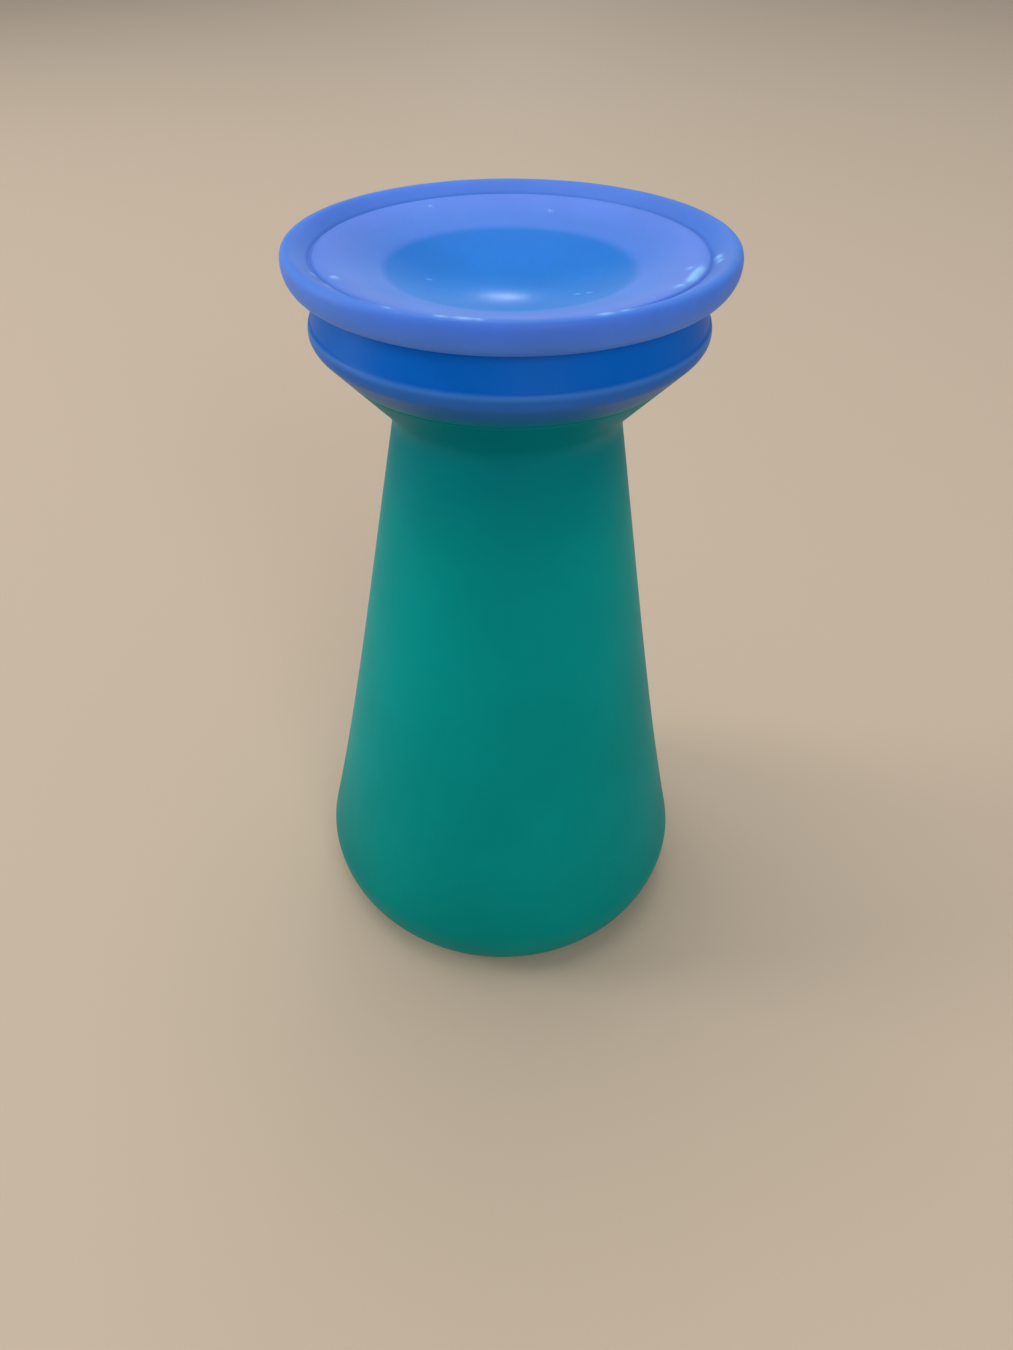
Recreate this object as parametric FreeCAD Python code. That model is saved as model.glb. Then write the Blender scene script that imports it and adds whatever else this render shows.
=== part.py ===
import FreeCAD, Part
import math
import os

# Spoutless sippy cup.  A waisted cup with a wide foot flares out again above
# its waist.  A screwed collar with a drinking rim closes it, and a dished
# silicone disc lies on that rim all the way round.  The disc is pulled down in
# its middle by a post, which stands on a spoked carrier inside the cup mouth.
#
# Millimetres.  The origin is the middle of the foot, on the table, +Z is up
# and the whole cup is round about Z.  Radii are called r and heights z.

V = FreeCAD.Vector
UP = V(0, 0, 1)
ORIGIN = V(0, 0, 0)

# ---- driving dimensions ---------------------------------------------------

# cup body
foot_ring_inner_r = 29.5        # the cup stands on a flat ring, round a shallow hollow
foot_ring_outer_r = 34.5
foot_r = 38.45                  # where the rounded foot runs into the wall
foot_z = 12.0
foot_hollow_depth = 1.2
wall_lean_at_foot = 0.237       # loss of radius per millimetre of height
wall_lean_at_waist = 0.184
waist_r = 19.25                 # where the lines of the wall and the flare meet
waist_z = 110.6
waist_round = 2.9               # height over which that corner is rounded, each way
flare_angle = math.radians(42.7)  # from the vertical
wall = 1.8
floor_thickness = 2.2

# cup mouth and its thread
shoulder_z = 119.8              # the flare ends in a step, which the collar meets
mouth_inner_r = 24.0
mouth_outer_r = 25.6
mouth_z = 129.2

# collar
collar_gap = 0.2                # above the shoulder, when screwed down
collar_lip_inner_r = 26.95
collar_bore_r = 27.4
bulge_r = 32.0                  # the widest part of the collar
bulge_round = 2.6
rim_outer_r = 30.1              # drinking rim
rim_inner_r = 28.3
rim_wall_foot_r = 31.45         # the rim's wall leans in a little as it rises
lip_top_degrees = 22            # the bulge's rounding ends this far above the level
rim_z = 132.8
web_z = 131.5                   # underside of the web that clamps the carrier
web_thickness = 0.85
web_inner_r = 24.4

# screw thread, two starts
lead = 8.0                      # rise in one turn
starts = 2
thread_half_crest = 0.5
cup_thread_r = 26.6
collar_thread_r = 26.0
cup_thread_z = (122.3, 127.9)   # lowest and highest place of the ridge's middle
collar_thread_z = (122.0, 127.2)
thread_drop = 1.5               # the collar's ridge runs this far below the cup's
thread_root_flare = 0.35        # a ridge is this much wider at its root, on each side
thread_bite = 0.3               # a ridge starts this deep inside its own wall
run_out = 20.0                  # degrees over which a ridge fades away at its ends

# seal ring
seal_inner_r = 24.15
seal_outer_r = 25.5
seal_z = (129.25, 130.4)

# valve carrier
plug_inner_r = 22.4
plug_outer_r = 23.85
plug_z = 124.0
flange_r = 25.7
flange_z = (130.4, 131.4)
hub_r = 6.5
hub_z = (121.0, 123.2)
post_r = 3.0
post_z = 128.4
spokes = 4
spoke_width = 2.6
spoke_depth = 2.3
spoke_ring_z = 124.2            # underside of a spoke where it meets the plug ring

# valve disc
disc_r = 35.0
disc_top_z = 137.7
crest_r = 34.0                  # the top of the disc's raised edge
edge_low_r = 32.0               # the edge hangs a little over the drinking rim
edge_low_z = 132.3
disc_under_z = 132.9            # the flat seat, just above the drinking rim
seat_outer_r = 30.8
groove_r = 30.5
groove_z = 135.95
dish_edge_r = 30.0
dish_edge_z = 136.2
hollow_r = 20.0                 # rounder hollow in the middle of the dish
hollow_edge_z = 133.7
hollow_bottom_z = 130.6
dish_r = 22.6                   # where the plain cone of the dish begins
dish_z = 134.38
skin = 1.7                      # thickness in the middle
seat_inner_r = 24.3             # the flat seat under the disc ends here
socket_bore_r = 3.05
socket_r = 5.2
socket_bead_r = 5.8
socket_z = 123.6
bead_height = 1.8


# ---- geometry helpers -----------------------------------------------------

class Outline:
    """A closed outline in the plane of r and z, drawn edge by edge."""

    def __init__(self, r, z):
        self.first = V(r, 0, z)
        self.last = self.first
        self.edges = []

    def line(self, r, z):
        end = V(r, 0, z)
        self.edges.append(Part.makeLine(self.last, end))
        self.last = end
        return self

    def arc(self, via, end):
        """An arc through the point via to the point end."""
        middle = V(via[0], 0, via[1])
        stop = V(end[0], 0, end[1])
        self.edges.append(Part.Arc(self.last, middle, stop).toShape())
        self.last = stop
        return self

    def curve(self, *poles):
        """A Bezier curve, whose last pole is its end."""
        bezier = Part.BezierCurve()
        bezier.setPoles([self.last] + [V(r, 0, z) for r, z in poles])
        self.edges.append(bezier.toShape())
        self.last = V(poles[-1][0], 0, poles[-1][1])
        return self

    def turned(self):
        """The solid that the outline makes when it is turned about Z."""
        if (self.last - self.first).Length > 1e-6:
            self.line(self.first.x, self.first.z)
        face = Part.Face(Part.Wire(self.edges))
        return face.revolve(ORIGIN, UP, 360)


def on_circle(centre, radius, degrees):
    """A point (r, z) on a circle about centre, counted up from the level."""
    angle = math.radians(degrees)
    return (centre[0] + radius * math.cos(angle), centre[1] + radius * math.sin(angle))


def polar(r, degrees, z=0.0):
    angle = math.radians(degrees)
    return V(r * math.cos(angle), r * math.sin(angle), z)


def turned_copies(shape, count):
    copies = []
    for number in range(count):
        copy = shape.copy()
        copy.rotate(ORIGIN, UP, 360.0 * number / count)
        copies.append(copy)
    return copies


def thread_ridge(root_r, crest_r, z_low, z_high, start_degrees):
    """One helical ridge.  It stands out of a wall at root_r as far as crest_r,
    outwards or inwards, and both ends fade away."""
    outwards = 1.0 if crest_r > root_r else -1.0
    base_r = root_r - outwards * thread_bite
    half_root = thread_half_crest + thread_root_flare
    corners = [
        V(base_r, 0, -half_root),
        V(crest_r, 0, -thread_half_crest),
        V(crest_r, 0, thread_half_crest),
        V(base_r, 0, half_root),
    ]
    section = Part.makePolygon(corners + corners[:1])
    spine = Part.Wire(Part.makeHelix(lead, z_high - z_low, crest_r).Edges)
    ridge = spine.makePipeShell([section], True, True)
    sweep = 360.0 * (z_high - z_low) / lead
    height = z_high - z_low + 4 * half_root
    for end, inward in ((0.0, 1.0), (sweep, -1.0)):
        buried = polar(base_r, end)
        surfaced = polar(crest_r, end + inward * run_out)
        along = (surfaced - buried).normalize()
        away = polar(outwards * 6, end + inward * run_out / 2)
        corners = [buried - along * 5, surfaced + along * 2]
        outline = corners + [corners[1] + away, corners[0] + away]
        wedge = Part.Face(Part.makePolygon(outline + outline[:1])).extrude(UP * height)
        wedge.translate(V(0, 0, -2 * half_root))
        ridge = ridge.cut(wedge)
    ridge.translate(V(0, 0, z_low))
    ridge.rotate(ORIGIN, UP, start_degrees)
    return ridge


# ---- sub-parts ------------------------------------------------------------

def flare_r(z):
    """Outside radius of the flare at a height."""
    return waist_r + (z - waist_z) * math.tan(flare_angle)


def cup_body():
    wall_level = wall / math.cos(math.atan(wall_lean_at_waist))
    flare_level = wall / math.cos(flare_angle)
    rise = (waist_z - waist_round - foot_z) / 3
    neck_r = waist_r + wall_lean_at_waist * waist_round
    neck_z = waist_z - waist_round
    inner_waist_r = waist_r - wall_level
    inner_waist_z = waist_z + (flare_level - wall_level) / math.tan(flare_angle)
    inner_flare_z = waist_z + (mouth_inner_r + flare_level - waist_r) / math.tan(flare_angle)
    inner_rise = (inner_waist_z - waist_round - foot_z) / 3
    inner_neck_r = inner_waist_r + wall_lean_at_waist * waist_round
    inner_neck_z = inner_waist_z - waist_round
    flare_step = waist_round * math.tan(flare_angle)
    rounding = 0.4
    mouth_round = (mouth_outer_r - mouth_inner_r) / 2

    body = Outline(0, foot_hollow_depth)
    body.arc((foot_ring_inner_r * 0.52, foot_hollow_depth * 0.8), (foot_ring_inner_r - 1.0, 0.4))
    body.line(foot_ring_inner_r, 0)
    body.line(foot_ring_outer_r, 0)
    body.curve(
        (foot_ring_outer_r + rounding * (foot_r - foot_ring_outer_r), 0),
        (foot_r + wall_lean_at_foot * rounding * foot_z, foot_z * (1 - rounding)),
        (foot_r, foot_z),
    )
    body.curve(
        (foot_r - wall_lean_at_foot * rise, foot_z + rise),
        (neck_r + wall_lean_at_waist * rise, neck_z - rise),
        (neck_r, neck_z),
    )
    body.curve((waist_r, waist_z), (waist_r + flare_step, waist_z + waist_round))
    body.line(flare_r(shoulder_z), shoulder_z)
    body.line(mouth_outer_r, shoulder_z)
    body.line(mouth_outer_r, mouth_z - mouth_round)
    body.arc((mouth_outer_r - mouth_round, mouth_z), (mouth_inner_r, mouth_z - mouth_round))
    body.line(mouth_inner_r, inner_flare_z)
    body.line(inner_waist_r + flare_step, inner_waist_z + waist_round)
    body.curve((inner_waist_r, inner_waist_z), (inner_neck_r, inner_neck_z))
    body.curve(
        (inner_neck_r + wall_lean_at_waist * inner_rise, inner_neck_z - inner_rise),
        (foot_r - wall_level - wall_lean_at_foot * inner_rise, foot_z + inner_rise),
        (foot_r - wall_level, foot_z),
    )
    inner_floor_z = foot_hollow_depth + floor_thickness
    body.curve(
        (foot_r - wall_level + 0.6, foot_z - 3.5),
        (foot_ring_outer_r + 0.8, inner_floor_z),
        (foot_ring_outer_r - 3.0, inner_floor_z),
    )
    body.line(0, inner_floor_z)
    solid = body.turned()
    ridge = thread_ridge(mouth_outer_r, cup_thread_r, *cup_thread_z, 0.0)
    return solid.fuse(turned_copies(ridge, starts)).removeSplitter()


def lid_collar():
    lip_z = shoulder_z + collar_gap
    round_r = bulge_r - bulge_round
    touch_r = round_r + bulge_round * math.cos(flare_angle)
    touch_z = waist_z + (touch_r - waist_r) / math.tan(flare_angle)
    centre = (round_r, touch_z + bulge_round * math.sin(flare_angle))
    half_rim = (rim_outer_r - rim_inner_r) / 2

    collar = Outline(collar_lip_inner_r, lip_z)
    collar.line(flare_r(lip_z), lip_z)
    collar.line(touch_r, touch_z)
    collar.arc((bulge_r, centre[1]), on_circle(centre, bulge_round, lip_top_degrees))
    collar.line(rim_wall_foot_r, collar.last.z + 0.35)
    collar.line(rim_outer_r, rim_z - half_rim)
    collar.arc((rim_outer_r - half_rim, rim_z), (rim_inner_r, rim_z - half_rim))
    collar.line(rim_inner_r - 0.2, web_z + web_thickness)
    collar.line(web_inner_r, web_z + web_thickness)
    collar.line(web_inner_r, web_z)
    collar.line(collar_bore_r, web_z)
    collar.line(collar_bore_r, lip_z + 1.6)
    collar.line(collar_lip_inner_r, lip_z + 1.0)
    solid = collar.turned()
    # The collar's ridge is the cup's own helix, moved down by thread_drop.
    climb = collar_thread_z[0] + thread_drop - cup_thread_z[0]
    ridge = thread_ridge(collar_bore_r, collar_thread_r, *collar_thread_z, 360.0 * climb / lead)
    return solid.fuse(turned_copies(ridge, starts)).removeSplitter()


def seal_ring():
    corner = 0.3
    low, high = seal_z
    ring = Outline(seal_inner_r + corner, low)
    ring.line(seal_outer_r - corner, low)
    ring.arc((seal_outer_r - 0.3 * corner, low + 0.3 * corner), (seal_outer_r, low + corner))
    ring.line(seal_outer_r, high)
    ring.line(seal_inner_r, high)
    ring.line(seal_inner_r, low + corner)
    ring.arc((seal_inner_r + 0.3 * corner, low + 0.3 * corner), (seal_inner_r + corner, low))
    return ring.turned()


def valve_carrier():
    chamfer = 0.5
    ring = Outline(plug_inner_r, plug_z)
    ring.line(plug_outer_r - chamfer, plug_z)
    ring.line(plug_outer_r, plug_z + 3 * chamfer)
    ring.line(plug_outer_r, flange_z[0])
    ring.line(flange_r, flange_z[0])
    ring.line(flange_r, flange_z[1])
    ring.line(plug_inner_r + chamfer, flange_z[1])
    ring.line(plug_inner_r, flange_z[1] - chamfer)
    pieces = [ring.turned()]

    hub = Outline(0, hub_z[0])
    hub.line(hub_r - chamfer, hub_z[0])
    hub.line(hub_r, hub_z[0] + chamfer)
    hub.line(hub_r, hub_z[1])
    hub.line(post_r, hub_z[1])
    hub.line(post_r, post_z - 1.0)
    hub.arc((post_r - 0.3, post_z - 0.3), (post_r - 1.0, post_z))
    hub.line(0, post_z)
    pieces.append(hub.turned())

    inside = hub_r - 1.5
    outside = plug_inner_r + 0.7
    profile = [
        V(inside, -spoke_width / 2, hub_z[0]),
        V(outside, -spoke_width / 2, spoke_ring_z),
        V(outside, -spoke_width / 2, spoke_ring_z + spoke_depth),
        V(inside, -spoke_width / 2, hub_z[0] + spoke_depth - 0.3),
    ]
    spoke = Part.Face(Part.makePolygon(profile + profile[:1])).extrude(V(0, spoke_width, 0))
    pieces += turned_copies(spoke, spokes)
    return pieces[0].multiFuse(pieces[1:]).removeSplitter()


def valve_disc():
    under_middle_z = hollow_bottom_z - skin

    disc = Outline(0, hollow_bottom_z)
    disc.curve((hollow_r / 2, hollow_bottom_z), (hollow_r, hollow_edge_z))
    disc.curve((hollow_r + 1.2, hollow_edge_z + 0.37), (dish_r, dish_z))
    disc.curve(
        (dish_r + 3.3, dish_z + 0.73),
        (dish_edge_r - 1.6, dish_edge_z),
        (dish_edge_r, dish_edge_z),
    )
    disc.curve((dish_edge_r + 0.25, dish_edge_z), (groove_r - 0.2, groove_z), (groove_r, groove_z))
    disc.line(groove_r + 0.4, groove_z + 0.3)
    disc.curve(
        (crest_r - 1.2, disc_top_z - 0.35),
        (crest_r - 0.7, disc_top_z),
        (crest_r, disc_top_z),
    )
    disc.curve(
        (crest_r + 0.6 * (disc_r - crest_r), disc_top_z),
        (disc_r, disc_top_z - 0.5),
        (disc_r, disc_top_z - 1.6),
    )
    disc.curve((disc_r, edge_low_z + 1.4), (edge_low_r + 1.5, edge_low_z), (edge_low_r, edge_low_z))
    disc.line(seat_outer_r, disc_under_z)
    disc.line(seat_inner_r, disc_under_z)
    disc.curve((22.6, disc_under_z), (20.0, under_middle_z + 1.8), (17.0, under_middle_z + 1.3))
    disc.curve((12.0, under_middle_z + 0.3), (socket_r + 2.5, under_middle_z),
               (socket_r + 0.8, under_middle_z))
    disc.arc((socket_r + 0.25, under_middle_z - 0.25), (socket_r, under_middle_z - 0.8))
    disc.line(socket_r, socket_z + bead_height)
    disc.arc((socket_bead_r, socket_z + bead_height / 2), (socket_r, socket_z))
    disc.line(socket_bore_r + 0.3, socket_z)
    disc.line(socket_bore_r, socket_z + 0.5)
    disc.line(socket_bore_r, post_z + 0.15)
    disc.line(0, post_z + 0.15)
    return disc.turned()


# ---- export ---------------------------------------------------------------

sub_parts = {
    "cup_body": cup_body,
    "seal_ring": seal_ring,
    "valve_carrier": valve_carrier,
    "lid_collar": lid_collar,
    "valve_disc": valve_disc,
}

os.makedirs("parts", exist_ok=True)
for name, make in sub_parts.items():
    shape = make()
    if shape.ShapeType == "Compound" and len(shape.Solids) == 1:
        shape = shape.Solids[0]
    shape.exportStep("parts/" + name + ".step")
    print(name, "solids", len(shape.Solids), "valid", shape.isValid(),
          "volume", round(shape.Volume, 1), "mm3")
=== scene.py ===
import math

import bpy
import bmesh
from mathutils import Matrix, Vector, noise


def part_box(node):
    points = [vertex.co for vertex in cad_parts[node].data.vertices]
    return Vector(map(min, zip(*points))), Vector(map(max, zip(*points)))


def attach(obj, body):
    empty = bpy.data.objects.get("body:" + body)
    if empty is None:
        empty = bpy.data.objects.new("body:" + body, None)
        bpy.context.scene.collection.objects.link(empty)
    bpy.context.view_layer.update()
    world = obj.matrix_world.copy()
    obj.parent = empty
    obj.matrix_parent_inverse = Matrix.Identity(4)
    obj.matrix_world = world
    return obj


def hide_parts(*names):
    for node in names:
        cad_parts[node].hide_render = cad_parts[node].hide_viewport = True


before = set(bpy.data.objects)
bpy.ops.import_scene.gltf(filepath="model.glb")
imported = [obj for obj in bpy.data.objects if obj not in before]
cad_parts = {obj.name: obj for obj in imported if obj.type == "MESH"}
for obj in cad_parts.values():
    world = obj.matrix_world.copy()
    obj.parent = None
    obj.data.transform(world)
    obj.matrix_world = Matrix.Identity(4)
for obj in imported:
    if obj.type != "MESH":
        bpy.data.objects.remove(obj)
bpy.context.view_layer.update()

MM = 0.001

# ---- sizes that the visible meshes share with the CAD model, in metres ----

FOOT_RING_INNER_R = 29.5 * MM
FOOT_RING_OUTER_R = 34.5 * MM
FOOT_R = 38.43 * MM
FOOT_Z = 12.0 * MM
FOOT_HOLLOW = 1.2 * MM
LEAN_AT_FOOT = 0.237
LEAN_AT_WAIST = 0.184
WAIST_R = 19.25 * MM
WAIST_Z = 110.6 * MM
WAIST_ROUND = 2.9 * MM
FLARE = math.radians(42.7)
WALL = 1.8 * MM
FLOOR_THICKNESS = 2.2 * MM
SHOULDER_Z = 119.8 * MM
MOUTH_INNER_R = 24.0 * MM
MOUTH_OUTER_R = 25.6 * MM
MOUTH_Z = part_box("cup_body")[1].z

COLLAR_LIP_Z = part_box("lid_collar")[0].z
COLLAR_LIP_INNER_R = 26.95 * MM
COLLAR_BORE_R = 27.4 * MM
BULGE_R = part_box("lid_collar")[1].x
BULGE_ROUND = 2.6 * MM
RIM_OUTER_R = 30.1 * MM
RIM_INNER_R = 28.3 * MM
RIM_WALL_FOOT_R = 31.45 * MM
LIP_TOP_DEGREES = 22
RIM_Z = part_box("lid_collar")[1].z
WEB_Z = 131.5 * MM
WEB_TOP_Z = 132.35 * MM
WEB_INNER_R = 24.4 * MM

LEAD = 8.0 * MM
CUP_THREAD_R = 26.6 * MM
COLLAR_THREAD_R = 26.0 * MM
CUP_THREAD_Z = (122.3 * MM, 127.9 * MM)
COLLAR_THREAD_Z = (122.0 * MM, 127.2 * MM)
THREAD_DROP = 1.5 * MM

DISC_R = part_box("valve_disc")[1].x
DISC_TOP_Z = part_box("valve_disc")[1].z
CREST_R = 34.0 * MM
EDGE_LOW_R = 32.0 * MM
EDGE_LOW_Z = 132.3 * MM
DISC_UNDER_Z = 132.9 * MM
SEAT_OUTER_R = 30.8 * MM
GROOVE_R = 30.5 * MM
GROOVE_Z = 135.95 * MM
DISH_EDGE_R = 30.0 * MM
DISH_EDGE_Z = 136.2 * MM
HOLLOW_R = 20.0 * MM
HOLLOW_EDGE_Z = 133.7 * MM
HOLLOW_BOTTOM_Z = 130.6 * MM
DISH_R = 22.6 * MM
DISH_Z = 134.38 * MM
SKIN = 1.7 * MM
SEAT_INNER_R = 24.3 * MM
SOCKET_BORE_R = 3.05 * MM
SOCKET_R = 5.2 * MM
SOCKET_BEAD_R = 5.8 * MM
SOCKET_Z = 123.6 * MM
BEAD_HEIGHT = 1.8 * MM
POST_TOP_Z = 128.4 * MM


# ---- outlines in the plane of r and z --------------------------------------

def straight(a, b, step=1.2 * MM):
    """Points from a to b, without a, no further apart than step."""
    count = max(1, math.ceil(math.dist(a, b) / step))
    return [(a[0] + (b[0] - a[0]) * k / count, a[1] + (b[1] - a[1]) * k / count)
            for k in range(1, count + 1)]


def bezier(poles, count):
    """Points on a Bezier curve of any degree, without its first pole."""
    points = []
    for k in range(1, count + 1):
        t = k / count
        level = list(poles)
        while len(level) > 1:
            level = [((1 - t) * p[0] + t * q[0], (1 - t) * p[1] + t * q[1])
                     for p, q in zip(level, level[1:])]
        points.append(level[0])
    return points


def round_arc(centre, radius, first, last, count):
    """Points on an arc from angle first to angle last, in degrees."""
    points = []
    for k in range(count + 1):
        a = math.radians(first + (last - first) * k / count)
        points.append((centre[0] + radius * math.cos(a), centre[1] + radius * math.sin(a)))
    return points


def eased(before, corner, after, radius, count=5):
    """A rounded corner, in place of a sharp one, of about that radius."""
    def toward(a, b):
        d = math.dist(a, b)
        reach = min(radius, 0.45 * d)
        return (a[0] + (b[0] - a[0]) * reach / d, a[1] + (b[1] - a[1]) * reach / d)
    start = toward(corner, before)
    end = toward(corner, after)
    return [start] + bezier([start, corner, end], count)


def path(*corners):
    """Straight runs between corners (r, z, rounding), with each corner rounded."""
    points = [(corners[0][0], corners[0][1])]
    for before, at, after in zip(corners, corners[1:], corners[2:]):
        if at[2] > 0:
            points += eased(before[:2], at[:2], after[:2], at[2])
        else:
            points.append(at[:2])
    points.append((corners[-1][0], corners[-1][1]))
    filled = points[:1]
    for p in points[1:]:
        filled += straight(filled[-1], p)
    return filled


# ---- meshes ----------------------------------------------------------------

def turned(name, outline, closed=False, segments=288, push=None, lift=None):
    """A solid of revolution about Z.  An open outline runs from axis to axis.
    push(angle, r, z) may return a change of radius, and lift a change of height."""
    bm = bmesh.new()
    rings = []
    for r, z in outline:
        if r < 1e-7:
            rings.append([bm.verts.new((0, 0, z))])
            continue
        ring = []
        for k in range(segments):
            a = 2 * math.pi * k / segments
            radius = r + (push(a, r, z) if push else 0.0)
            height = z + (lift(a, r, z) if lift else 0.0)
            ring.append(bm.verts.new((radius * math.cos(a), radius * math.sin(a), height)))
        rings.append(ring)
    pairs = list(zip(rings, rings[1:]))
    if closed:
        pairs.append((rings[-1], rings[0]))
    for lower, upper in pairs:
        for k in range(segments):
            n = (k + 1) % segments
            if len(lower) == 1 and len(upper) > 1:
                bm.faces.new((lower[0], upper[n], upper[k]))
            elif len(upper) == 1 and len(lower) > 1:
                bm.faces.new((lower[k], lower[n], upper[0]))
            elif len(lower) > 1:
                bm.faces.new((lower[k], lower[n], upper[n], upper[k]))
    bmesh.ops.recalc_face_normals(bm, faces=bm.faces)
    mesh = bpy.data.meshes.new(name)
    bm.to_mesh(mesh)
    bm.free()
    mesh.shade_smooth()
    piece = bpy.data.objects.new(name, mesh)
    bpy.context.scene.collection.objects.link(piece)
    return piece


def smooth_step(t):
    t = min(1.0, max(0.0, t))
    return t * t * (3 - 2 * t)


def thread_push(z_range, start_degrees, height, wall_r):
    """The rise of a two-start screw ridge above its wall, as a push for turned."""
    half_crest = 0.5 * MM
    flank = 0.4 * MM
    fade = math.radians(20)
    sweep = 2 * math.pi * (z_range[1] - z_range[0]) / LEAD

    def push(angle, r, z):
        if abs(r - wall_r) > 0.05 * MM:
            return 0.0
        best = 0.0
        for start in (0.0, math.pi):
            turn = (angle - math.radians(start_degrees) - start) % (2 * math.pi)
            if turn > sweep:
                continue
            middle = z_range[0] + LEAD * turn / (2 * math.pi)
            side = 1 - smooth_step((abs(z - middle) - half_crest) / flank)
            ends = smooth_step(turn / fade) * smooth_step((sweep - turn) / fade)
            best = max(best, side * ends)
        return height * best
    return push


# ---- materials -------------------------------------------------------------

def new_material(name):
    material = bpy.data.materials.new(name)
    material.use_nodes = True
    nodes = material.node_tree.nodes
    return material, nodes, material.node_tree.links, nodes["Principled BSDF"]


def ramp(nodes, stops):
    """A colour ramp with the given (position, colour) stops."""
    node = nodes.new("ShaderNodeValToRGB")
    elements = node.color_ramp.elements
    while len(elements) < len(stops):
        elements.new(0.5)
    for element, (position, colour) in zip(elements, stops):
        element.position = position
        element.color = (*colour, 1)
    node.color_ramp.interpolation = "EASE"
    return node


def moulded(name, stops, along, span, roughness, specular, glow, glow_radius,
            sheen, sheen_tint, grain=0.25, mottle=0.12, polish=None, glint_paint=None):
    """A moulded, slightly translucent plastic or silicone.  Its colour follows
    stops over span, along the height or the radius, and has faint clouds of
    strength mottle.  The skin has a fine satin grain and shallow flow lines.
    polish is the smoother roughness of the spot that the mesh's polish_mark
    attribute names.  The last argument is the pale colour of a painted glint,
    mixed in on the lumps that the mesh's glint attribute names."""
    material, nodes, links, shader = new_material(name)
    where = nodes.new("ShaderNodeTexCoord")
    parts = nodes.new("ShaderNodeSeparateXYZ")
    links.new(where.outputs["Object"], parts.inputs["Vector"])
    place = nodes.new("ShaderNodeMapRange")
    place.inputs["From Min"].default_value = span[0]
    place.inputs["From Max"].default_value = span[1]
    if along == "height":
        links.new(parts.outputs["Z"], place.inputs["Value"])
    else:
        flat = nodes.new("ShaderNodeCombineXYZ")
        links.new(parts.outputs["X"], flat.inputs["X"])
        links.new(parts.outputs["Y"], flat.inputs["Y"])
        far = nodes.new("ShaderNodeVectorMath")
        far.operation = "LENGTH"
        links.new(flat.outputs["Vector"], far.inputs[0])
        links.new(far.outputs["Value"], place.inputs["Value"])
    tone = ramp(nodes, stops)
    links.new(place.outputs["Result"], tone.inputs["Fac"])

    clouds = nodes.new("ShaderNodeTexNoise")
    clouds.inputs["Scale"].default_value = 30.0
    clouds.inputs["Detail"].default_value = 4.0
    links.new(where.outputs["Object"], clouds.inputs["Vector"])
    shade = ramp(nodes, [(0.32, (1 - mottle, 1 - mottle, 1 - mottle)), (0.7, (1, 1, 1))])
    links.new(clouds.outputs["Fac"], shade.inputs["Fac"])
    mixed = nodes.new("ShaderNodeMix")
    mixed.data_type = "RGBA"
    mixed.blend_type = "MULTIPLY"
    mixed.inputs["Factor"].default_value = 1.0
    links.new(tone.outputs["Color"], mixed.inputs["A"])
    links.new(shade.outputs["Color"], mixed.inputs["B"])
    # Painted glint: the colour is mixed towards a pale blue on the lumps that the mesh attribute
    # names.
    if glint_paint:
        where_glint_painted = nodes.new("ShaderNodeAttribute")
        where_glint_painted.attribute_name = "painted_glint"
        glint_painted = nodes.new("ShaderNodeMix")
        glint_painted.data_type = "RGBA"
        glint_painted.inputs["B"].default_value = (*glint_paint, 1)
        links.new(where_glint_painted.outputs["Fac"], glint_painted.inputs["Factor"])
        links.new(mixed.outputs["Result"], glint_painted.inputs["A"])
        links.new(glint_painted.outputs["Result"], shader.inputs["Base Color"])
    else:
        links.new(mixed.outputs["Result"], shader.inputs["Base Color"])

    gloss_map = nodes.new("ShaderNodeTexNoise")
    gloss_map.inputs["Scale"].default_value = 95.0
    gloss_map.inputs["Detail"].default_value = 4.0
    links.new(where.outputs["Object"], gloss_map.inputs["Vector"])
    satin = nodes.new("ShaderNodeMapRange")
    satin.inputs["To Min"].default_value = roughness - 0.05
    satin.inputs["To Max"].default_value = roughness + 0.06
    links.new(gloss_map.outputs["Fac"], satin.inputs["Value"])
    if polish:
        where_polished = nodes.new("ShaderNodeAttribute")
        where_polished.attribute_name = "polish_mark"
        gloss = nodes.new("ShaderNodeMapRange")
        gloss.inputs["To Max"].default_value = polish
        links.new(where_polished.outputs["Fac"], gloss.inputs["Value"])
        links.new(satin.outputs["Result"], gloss.inputs["To Min"])
        links.new(gloss.outputs["Result"], shader.inputs["Roughness"])
    else:
        links.new(satin.outputs["Result"], shader.inputs["Roughness"])

    fine = nodes.new("ShaderNodeTexNoise")
    fine.inputs["Scale"].default_value = 1400.0
    fine.inputs["Detail"].default_value = 2.0
    links.new(where.outputs["Object"], fine.inputs["Vector"])
    flow = nodes.new("ShaderNodeTexNoise")
    flow.inputs["Scale"].default_value = 70.0
    flow.inputs["Detail"].default_value = 1.5
    links.new(where.outputs["Object"], flow.inputs["Vector"])
    low = nodes.new("ShaderNodeBump")
    low.inputs["Strength"].default_value = 0.16
    low.inputs["Distance"].default_value = 0.3 * MM
    links.new(flow.outputs["Fac"], low.inputs["Height"])
    skin = nodes.new("ShaderNodeBump")
    skin.inputs["Strength"].default_value = grain
    skin.inputs["Distance"].default_value = 0.03 * MM
    links.new(fine.outputs["Fac"], skin.inputs["Height"])
    links.new(low.outputs["Normal"], skin.inputs["Normal"])
    links.new(skin.outputs["Normal"], shader.inputs["Normal"])

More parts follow.
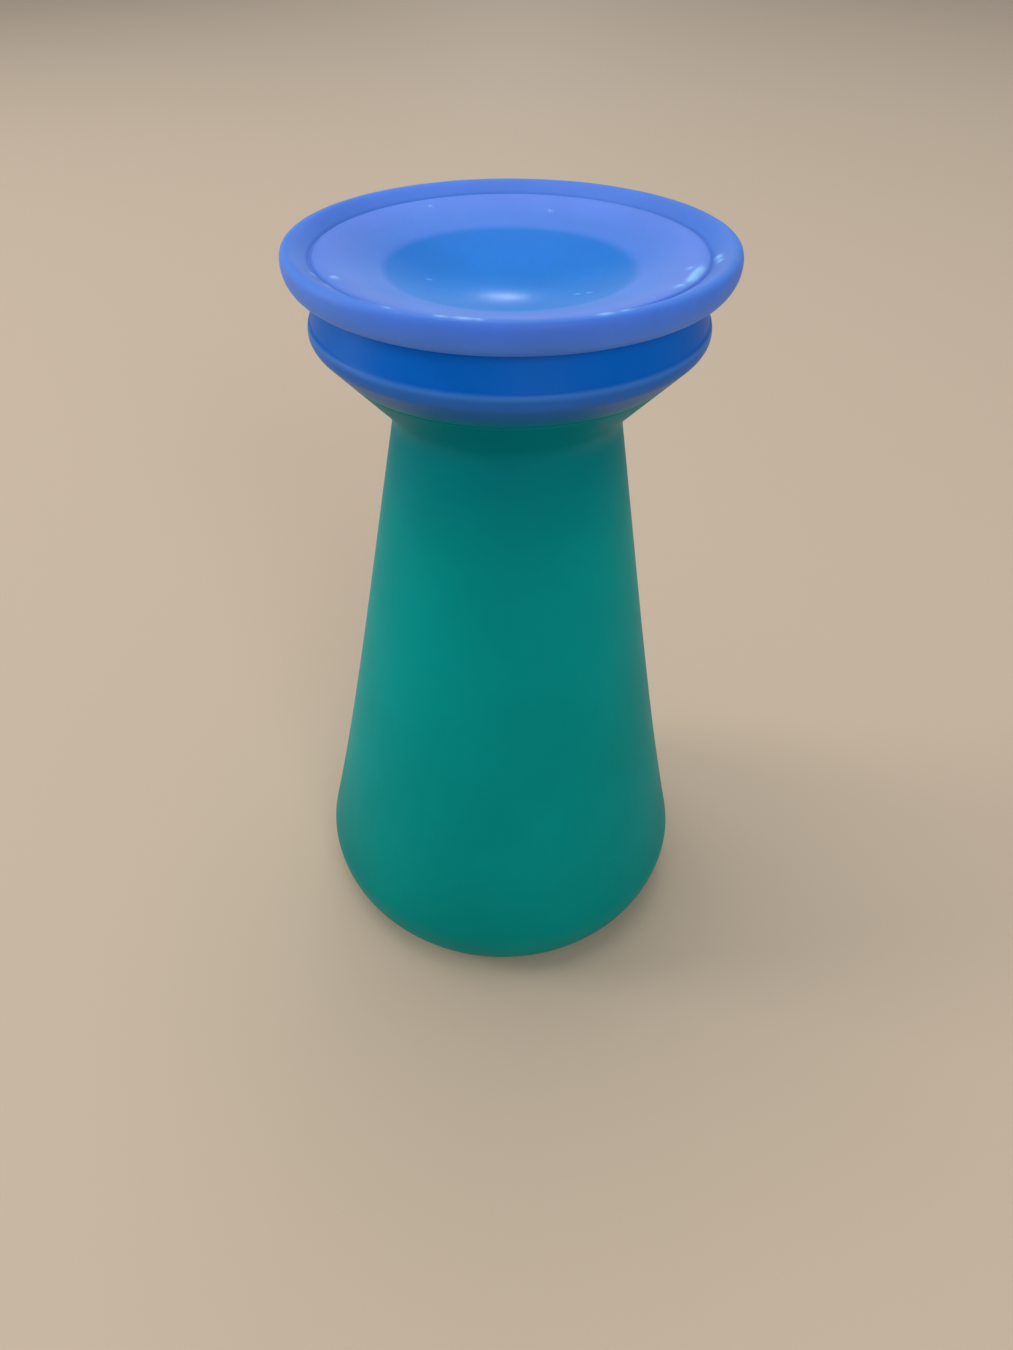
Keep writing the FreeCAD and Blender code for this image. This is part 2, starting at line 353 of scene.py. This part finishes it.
    shader.inputs["Subsurface Weight"].default_value = glow
    shader.inputs["Subsurface Radius"].default_value = glow_radius
    shader.inputs["Subsurface Scale"].default_value = 0.004
    shader.inputs["IOR"].default_value = 1.46
    shader.inputs["Specular IOR Level"].default_value = specular
    shader.inputs["Sheen Weight"].default_value = sheen
    shader.inputs["Sheen Roughness"].default_value = 0.35
    shader.inputs["Sheen Tint"].default_value = (*sheen_tint, 1)
    return material


# Colour by height: brightest at mid height, and darker towards the foot and near the top under the
# collar, both painted shade.
CUP_GREEN = moulded(
    "cup_green_plastic",
    stops=[(0.0, (0.0, 0.225, 0.2)), (0.35, (0.0, 0.29, 0.275)),
           (0.7, (0.0, 0.31, 0.3)), (1.0, (0.0, 0.18, 0.22))],
    along="height", span=(0.0, 0.12),
    roughness=0.4, specular=0.035,
    glow=0.35, glow_radius=(0.1, 1.0, 0.9),
    sheen=0.0, sheen_tint=(0.3, 1.0, 0.95))
# Colour by height: green at the thin lower lip; darker on the lip's underside, which is painted shade;
# a lighter band on the lip's rounded top, which is a painted highlight; plain blue above.
COLLAR_BLUE = moulded(
    "collar_blue_plastic",
    stops=[(0.0, (0.0, 0.18, 0.22)), (0.15, (0.02, 0.12, 0.34)),
           (0.42, (0.025, 0.135, 0.48)), (0.485, (0.045, 0.2, 0.62)),
           (0.53, (0.0, 0.14, 0.62)), (1.0, (0.0, 0.15, 0.66))],
    along="height", span=(0.120, 0.1328),
    roughness=0.36, specular=0.08,
    glow=0.35, glow_radius=(0.2, 0.6, 1.0),
    sheen=0.02, sheen_tint=(0.5, 0.75, 1.0))
# Colour by radius: deep blue in the hollow, then a lighter lilac ring out to the rim, which is painted
# sheen, then the rim's own blue.
DISC_BLUE = moulded(
    "disc_blue_silicone",
    stops=[(0.0, (0.0, 0.215, 0.78)), (0.53, (0.0, 0.205, 0.76)),
           (0.59, (0.08, 0.25, 0.87)), (0.84, (0.12, 0.26, 0.88)),
           (0.88, (0.07, 0.21, 0.74)), (1.0, (0.075, 0.22, 0.76))],
    along="radius", span=(0.0, 0.035),
    roughness=0.5, specular=0.25,
    glow=0.7, glow_radius=(0.3, 0.7, 1.0),
    sheen=0.03, sheen_tint=(0.75, 0.78, 1.0),
    grain=0.3, mottle=0.15, polish=0.28, glint_paint=(0.24, 0.5, 1.0))
CARRIER_BLUE = moulded(
    "carrier_blue_plastic",
    stops=[(0.0, (0.01, 0.12, 0.5)), (1.0, (0.015, 0.15, 0.6))],
    along="height", span=(0.12, 0.132),
    roughness=0.4, specular=0.4,
    glow=0.25, glow_radius=(0.2, 0.6, 1.0),
    sheen=0.1, sheen_tint=(0.6, 0.75, 1.0), grain=0.3)
SEAL_CLEAR = moulded(
    "seal_pale_silicone",
    stops=[(0.0, (0.55, 0.64, 0.7)), (1.0, (0.64, 0.72, 0.77))],
    along="height", span=(0.129, 0.1305),
    roughness=0.45, specular=0.4,
    glow=0.5, glow_radius=(0.9, 1.0, 1.0),
    sheen=0.1, sheen_tint=(1.0, 1.0, 1.0), grain=0.4)


# ---- the visible pieces ------------------------------------------------------

def flare_r(z):
    return WAIST_R + (z - WAIST_Z) * math.tan(FLARE)


def make_cup():
    level = WALL / math.cos(math.atan(LEAN_AT_WAIST))
    flare_level = WALL / math.cos(FLARE)
    rise = (WAIST_Z - WAIST_ROUND - FOOT_Z) / 3
    neck = (WAIST_R + LEAN_AT_WAIST * WAIST_ROUND, WAIST_Z - WAIST_ROUND)
    flare_step = WAIST_ROUND * math.tan(FLARE)
    inner_waist = (WAIST_R - level, WAIST_Z + (flare_level - level) / math.tan(FLARE))
    inner_flare_z = WAIST_Z + (MOUTH_INNER_R + flare_level - WAIST_R) / math.tan(FLARE)
    inner_neck = (inner_waist[0] + LEAN_AT_WAIST * WAIST_ROUND, inner_waist[1] - WAIST_ROUND)
    inner_rise = (inner_neck[1] - FOOT_Z) / 3
    floor_z = FOOT_HOLLOW + FLOOR_THICKNESS
    lip = (MOUTH_OUTER_R - MOUTH_INNER_R) / 2

    line = [(0, FOOT_HOLLOW)]
    line += bezier([(0, FOOT_HOLLOW), (FOOT_RING_INNER_R * 0.6, FOOT_HOLLOW),
                    (FOOT_RING_INNER_R - 1.6 * MM, 0.35 * MM)], 16)
    line += bezier([line[-1], (FOOT_RING_INNER_R - 0.4 * MM, 0.0),
                    (FOOT_RING_INNER_R + 0.4 * MM, 0.0)], 6)
    line += straight(line[-1], (FOOT_RING_OUTER_R, 0))
    line += bezier([
        (FOOT_RING_OUTER_R, 0),
        (FOOT_RING_OUTER_R + 0.4 * (FOOT_R - FOOT_RING_OUTER_R), 0),
        (FOOT_R + LEAN_AT_FOOT * 0.4 * FOOT_Z, FOOT_Z * 0.6),
        (FOOT_R, FOOT_Z)], 24)
    line += bezier([
        (FOOT_R, FOOT_Z),
        (FOOT_R - LEAN_AT_FOOT * rise, FOOT_Z + rise),
        (neck[0] + LEAN_AT_WAIST * rise, neck[1] - rise),
        neck], 84)
    line += bezier([neck, (WAIST_R, WAIST_Z),
                    (WAIST_R + flare_step, WAIST_Z + WAIST_ROUND)], 14)
    shoulder = path(
        (*line[-1], 0),
        (flare_r(SHOULDER_Z), SHOULDER_Z, 0.35 * MM),
        (MOUTH_OUTER_R, SHOULDER_Z, 0.3 * MM),
        (MOUTH_OUTER_R, SHOULDER_Z + 0.9 * MM, 0))
    line += shoulder[1:]
    line += straight(line[-1], (MOUTH_OUTER_R, MOUTH_Z - lip), 0.14 * MM)
    line += round_arc((MOUTH_OUTER_R - lip, MOUTH_Z - lip), lip, 0, 180, 12)[1:]
    inner_top = (inner_waist[0] + flare_step, inner_waist[1] + WAIST_ROUND)
    line += path((*line[-1], 0), (MOUTH_INNER_R, inner_flare_z, 0.8 * MM), (*inner_top, 0))[1:]
    line += bezier([inner_top, inner_waist, inner_neck], 14)
    line += bezier([
        inner_neck,
        (inner_neck[0] + LEAN_AT_WAIST * inner_rise, inner_neck[1] - inner_rise),
        (FOOT_R - level - LEAN_AT_FOOT * inner_rise, FOOT_Z + inner_rise),
        (FOOT_R - level, FOOT_Z)], 60)
    line += bezier([
        (FOOT_R - level, FOOT_Z),
        (FOOT_R - level + 0.6 * MM, FOOT_Z - 3.5 * MM),
        (FOOT_RING_OUTER_R + 0.8 * MM, floor_z),
        (FOOT_RING_OUTER_R - 3.0 * MM, floor_z)], 16)
    line += straight(line[-1], (0, floor_z), 4 * MM)
    ridges = thread_push(CUP_THREAD_Z, 0.0, CUP_THREAD_R - MOUTH_OUTER_R, MOUTH_OUTER_R)
    cup = turned("cup_shell", line, push=ridges)
    cup.data.materials.append(CUP_GREEN)
    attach(cup, "cup")
    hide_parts("cup_body")


def make_collar():
    round_r = BULGE_R - BULGE_ROUND
    touch_r = round_r + BULGE_ROUND * math.cos(FLARE)
    touch_z = WAIST_Z + (touch_r - WAIST_R) / math.tan(FLARE)
    centre = (round_r, touch_z + BULGE_ROUND * math.sin(FLARE))
    half_rim = (RIM_OUTER_R - RIM_INNER_R) / 2
    line = [(flare_r(COLLAR_LIP_Z), COLLAR_LIP_Z)]
    line += straight(line[-1], (touch_r, touch_z), 0.5 * MM)
    line += round_arc(centre, BULGE_ROUND, -math.degrees(FLARE), LIP_TOP_DEGREES, 18)[1:]
    wall_foot = (RIM_WALL_FOOT_R, line[-1][1] + 0.35 * MM)
    line += path((*line[-1], 0), (*wall_foot, 0.15 * MM), (RIM_OUTER_R, RIM_Z - half_rim, 0))[1:]
    line += round_arc((RIM_OUTER_R - half_rim, RIM_Z - half_rim), half_rim, 0, 180, 14)[1:]
    line += path(
        (*line[-1], 0),
        (RIM_INNER_R - 0.2 * MM, WEB_TOP_Z, 0.2 * MM),
        (WEB_INNER_R, WEB_TOP_Z, 0.25 * MM),
        (WEB_INNER_R, WEB_Z, 0.25 * MM),
        (COLLAR_BORE_R, WEB_Z, 0.3 * MM),
        (COLLAR_BORE_R, WEB_Z - 1.0 * MM, 0))[1:]
    line += straight(line[-1], (COLLAR_BORE_R, COLLAR_LIP_Z + 1.6 * MM), 0.14 * MM)
    line += path(
        (*line[-1], 0),
        (COLLAR_LIP_INNER_R, COLLAR_LIP_Z + 1.0 * MM, 0.2 * MM),
        (COLLAR_LIP_INNER_R, COLLAR_LIP_Z, 0.2 * MM),
        (flare_r(COLLAR_LIP_Z), COLLAR_LIP_Z, 0))[1:-1]
    start = 360 * (COLLAR_THREAD_Z[0] + THREAD_DROP - CUP_THREAD_Z[0]) / LEAD
    ridges = thread_push(COLLAR_THREAD_Z, start, COLLAR_THREAD_R - COLLAR_BORE_R, COLLAR_BORE_R)
    collar = turned("collar_ring", line, closed=True, push=ridges)
    collar.data.materials.append(COLLAR_BLUE)
    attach(collar, "collar")
    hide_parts("lid_collar")


# Small lumps on the disc's top; where they rise, the disc's colour is painted paler as a painted
# glint.
LUMPS = [
    # angle in degrees, radius, length around, width and height of a small moulded lump
    (-25.0, 29.2, 2.6, 0.7, 0.16), (-31.0, 29.5, 1.2, 0.6, 0.12), (-37.0, 29.0, 0.8, 0.6, 0.1),
    (-12.0, 31.3, 1.0, 0.5, 0.1), (-19.0, 27.6, 0.7, 0.5, 0.08), (-16.0, 31.6, 0.6, 0.4, 0.1),
    (206.5, 28.6, 0.7, 0.5, 0.16), (204.0, 31.2, 0.7, 0.4, 0.08), (214.0, 31.4, 1.0, 0.4, 0.08),
    (-102.0, 33.9, 1.3, 0.4, 0.1), (-107.0, 33.9, 0.8, 0.35, 0.1), (-98.5, 34.0, 0.6, 0.3, 0.08),
    (-71.0, 33.9, 1.1, 0.4, 0.1), (-66.0, 33.8, 0.8, 0.35, 0.08), (-120.0, 33.8, 0.7, 0.3, 0.07),
    (-40.0, 13.0, 0.35, 0.3, 0.12), (-37.0, 14.5, 0.3, 0.3, 0.12), (185.0, 12.6, 0.3, 0.3, 0.1),
    (118.0, 27.5, 0.35, 0.3, 0.1), (72.0, 25.0, 0.4, 0.3, 0.07),
]


FULL_GLINT_HEIGHT = 0.2 * MM           # a lump of this height has the full pale colour of its painted glint

# The smoother spot in the hollow: its middle (x, y), and how far it spreads.
GATE_SPOT = (-0.8 * MM, -6.1 * MM)
GATE_SPOT_R = 5.0 * MM


def lump_height(angle, r):
    """Height in metres of the small lumps at a place on the disc."""
    height = 0.0
    for place, at_r, length, width, tall in LUMPS:
        around = (angle - math.radians(place) + math.pi) % (2 * math.pi) - math.pi
        u = around * r / (length * MM)
        v = (r - at_r * MM) / (width * MM)
        d = u * u + v * v
        if d < 9:
            height += 2.2 * tall * MM * math.exp(-d)
    return height


def on_top(r, z):
    """Whether a place is on the top of the disc, inside its outer edge."""
    if r < HOLLOW_R:
        return z > HOLLOW_BOTTOM_Z - 0.1 * MM
    return z > (DISH_Z - 1 * MM if r < CREST_R - 2 * MM else DISC_TOP_Z - 1.8 * MM)


def lumps_and_waves(angle, r, z):
    """Soft waviness of the moulded silicone, with a few small lumps on its top."""
    if not on_top(r, z):
        return 0.0
    x, y = r * math.cos(angle), r * math.sin(angle)
    wave = noise.noise(Vector((x, y, 0)) * 110)
    wave += 0.5 * noise.noise(Vector((x, y, 0.1)) * 260)
    height = -0.045 * MM * smooth_step(r / (6 * MM)) * (1.0 + 0.65 * wave)
    height *= 1 - smooth_step((r - CREST_R) / (0.7 * MM))
    return min(height + lump_height(angle, r), DISC_TOP_Z - 0.01 * MM - z)


def mark_lumps(mesh):
    """Numbers on every vertex: how far it belongs to a lump, which sets the
    lump's painted glint colour, and to the smoother spot left in the hollow by
    the moulding gate, from 0 to 1."""
    glint_paint = mesh.attributes.new("painted_glint", "FLOAT", "POINT")
    smoother = mesh.attributes.new("polish_mark", "FLOAT", "POINT")
    for vertex in mesh.vertices:
        x, y, z = vertex.co
        r = math.hypot(x, y)
        if on_top(r, z):
            raised = lump_height(math.atan2(y, x), r)
            glint_paint.data[vertex.index].value = min(1.0, raised / FULL_GLINT_HEIGHT)
            far = math.dist((x, y), GATE_SPOT) / GATE_SPOT_R
            smoother.data[vertex.index].value = math.exp(-far * far)


def make_disc():
    under = HOLLOW_BOTTOM_Z - SKIN
    line = [(0, HOLLOW_BOTTOM_Z)]
    line += bezier([(0, HOLLOW_BOTTOM_Z), (HOLLOW_R / 2, HOLLOW_BOTTOM_Z),
                    (HOLLOW_R, HOLLOW_EDGE_Z)], 42)
    line += bezier([line[-1], (HOLLOW_R + 1.2 * MM, HOLLOW_EDGE_Z + 0.37 * MM),
                    (DISH_R, DISH_Z)], 10)
    line += bezier([line[-1], (DISH_R + 3.3 * MM, DISH_Z + 0.73 * MM),
                    (DISH_EDGE_R - 1.6 * MM, DISH_EDGE_Z), (DISH_EDGE_R, DISH_EDGE_Z)], 22)
    line += bezier([line[-1], (DISH_EDGE_R + 0.25 * MM, DISH_EDGE_Z),
                    (GROOVE_R - 0.2 * MM, GROOVE_Z), (GROOVE_R, GROOVE_Z)], 6)
    slope_foot = (GROOVE_R + 0.4 * MM, GROOVE_Z + 0.3 * MM)
    line += bezier([line[-1], (GROOVE_R + 0.2 * MM, GROOVE_Z), slope_foot], 4)
    line += bezier([slope_foot, (CREST_R - 1.2 * MM, DISC_TOP_Z - 0.35 * MM),
                    (CREST_R - 0.7 * MM, DISC_TOP_Z), (CREST_R, DISC_TOP_Z)], 16)
    line += bezier([line[-1], (CREST_R + 0.6 * (DISC_R - CREST_R), DISC_TOP_Z),
                    (DISC_R, DISC_TOP_Z - 0.5 * MM), (DISC_R, DISC_TOP_Z - 1.6 * MM)], 12)
    line += bezier([line[-1], (DISC_R, EDGE_LOW_Z + 1.4 * MM),
                    (EDGE_LOW_R + 1.5 * MM, EDGE_LOW_Z), (EDGE_LOW_R, EDGE_LOW_Z)], 18)
    line += eased(line[-1], (SEAT_OUTER_R, DISC_UNDER_Z), (SEAT_INNER_R, DISC_UNDER_Z), 0.5 * MM)
    line += straight(line[-1], (SEAT_INNER_R, DISC_UNDER_Z))
    line += bezier([line[-1], (22.6 * MM, DISC_UNDER_Z), (20.0 * MM, under + 1.8 * MM),
                    (17.0 * MM, under + 1.3 * MM)], 12)
    line += bezier([line[-1], (12.0 * MM, under + 0.3 * MM), (SOCKET_R + 2.5 * MM, under),
                    (SOCKET_R + 0.8 * MM, under)], 12)
    line += eased(line[-1], (SOCKET_R, under), (SOCKET_R, SOCKET_Z), 0.8 * MM)[1:]
    line += straight(line[-1], (SOCKET_R, SOCKET_Z + BEAD_HEIGHT))
    bead = BEAD_HEIGHT / 2
    line += [(SOCKET_R + (SOCKET_BEAD_R - SOCKET_R) * math.cos(math.radians(a)),
              SOCKET_Z + bead + bead * math.sin(math.radians(a))) for a in range(75, -91, -15)]
    line += path((*line[-1], 0), (SOCKET_BORE_R, SOCKET_Z, 0.4 * MM),
                 (SOCKET_BORE_R, POST_TOP_Z + 0.15 * MM, 0.5 * MM), (0, POST_TOP_Z + 0.15 * MM, 0))[1:]
    disc = turned("silicone_disc", line, segments=384, lift=lumps_and_waves)
    mark_lumps(disc.data)
    disc.data.materials.append(DISC_BLUE)
    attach(disc, "valve")
    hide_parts("valve_disc")


make_cup()
make_collar()
make_disc()
for node, material in (("valve_carrier", CARRIER_BLUE), ("seal_ring", SEAL_CLEAR)):
    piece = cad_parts[node]
    piece.data.materials.clear()
    piece.data.materials.append(material)


# ---- the floor, the light and the camera ------------------------------------

def make_floor():
    size = 6.0
    mesh = bpy.data.meshes.new("floor")
    mesh.from_pydata([(-size, -size, 0), (size, -size, 0), (size, size, 0), (-size, size, 0)],
                     [], [(0, 1, 2, 3)])
    floor = bpy.data.objects.new("floor", mesh)
    bpy.context.scene.collection.objects.link(floor)
    material, nodes, links, shader = new_material("pale_floor")
    shader.inputs["Base Color"].default_value = (0.59, 0.475, 0.36, 1)
    shader.inputs["Roughness"].default_value = 0.7
    shader.inputs["Specular IOR Level"].default_value = 0.15
    mesh.materials.append(material)


def area_light(name, place, aim, size, power, colour):
    light = bpy.data.lights.new(name, "AREA")
    light.shape = "RECTANGLE"
    light.size, light.size_y = size
    light.energy = power
    light.color = colour
    lamp = bpy.data.objects.new(name, light)
    lamp.location = place
    lamp.rotation_euler = (Vector(aim) - Vector(place)).to_track_quat("-Z", "Y").to_euler()
    bpy.context.scene.collection.objects.link(lamp)


def make_light():
    bpy.context.scene.view_settings.view_transform = "Standard"
    world = bpy.data.worlds.new("studio")
    world.use_nodes = True
    background = world.node_tree.nodes["Background"]
    background.inputs["Color"].default_value = (0.86, 0.92, 1.0, 1)
    background.inputs["Strength"].default_value = 0.35
    bpy.context.scene.world = world
    white = (1.0, 0.98, 0.95)
    area_light("ceiling", (-0.2, 0.5, 1.7), (0, 0, 0.05), (1.6, 1.2), 16.0, white)
    area_light("left_wall", (-1.5, 0.15, 0.55), (0, 0, 0.07), (0.5, 0.9), 9.0, white)
    area_light("front", (0.4, -1.6, 0.9), (0, 0, 0.09), (1.0, 0.8), 12.0, white)
    area_light("far_window", (0.085, 2.0, 0.5), (0, 0, 0.13), (0.05, 0.25), 1.0, (0.85, 0.92, 1.0))


def make_camera():
    # The camera looks down at the cup from a little above its rim, close by.
    pitch = 0.7059
    roll = -0.0074
    reach = 4.4576 * DISC_R
    height = 5.234 * DISC_R
    camera = bpy.data.cameras.new("camera")
    camera.sensor_width = 36.0
    camera.lens = 26.0
    camera.shift_x = 0.0241
    camera.clip_start = 0.01
    seat = bpy.data.objects.new("camera", camera)
    turn = Matrix.Rotation(math.pi / 2 - pitch, 4, "X") @ Matrix.Rotation(roll, 4, "Z")
    seat.matrix_world = Matrix.Translation((-0.006, -reach, height)) @ turn
    bpy.context.scene.collection.objects.link(seat)
    bpy.context.scene.camera = seat


make_floor()
make_light()
make_camera()
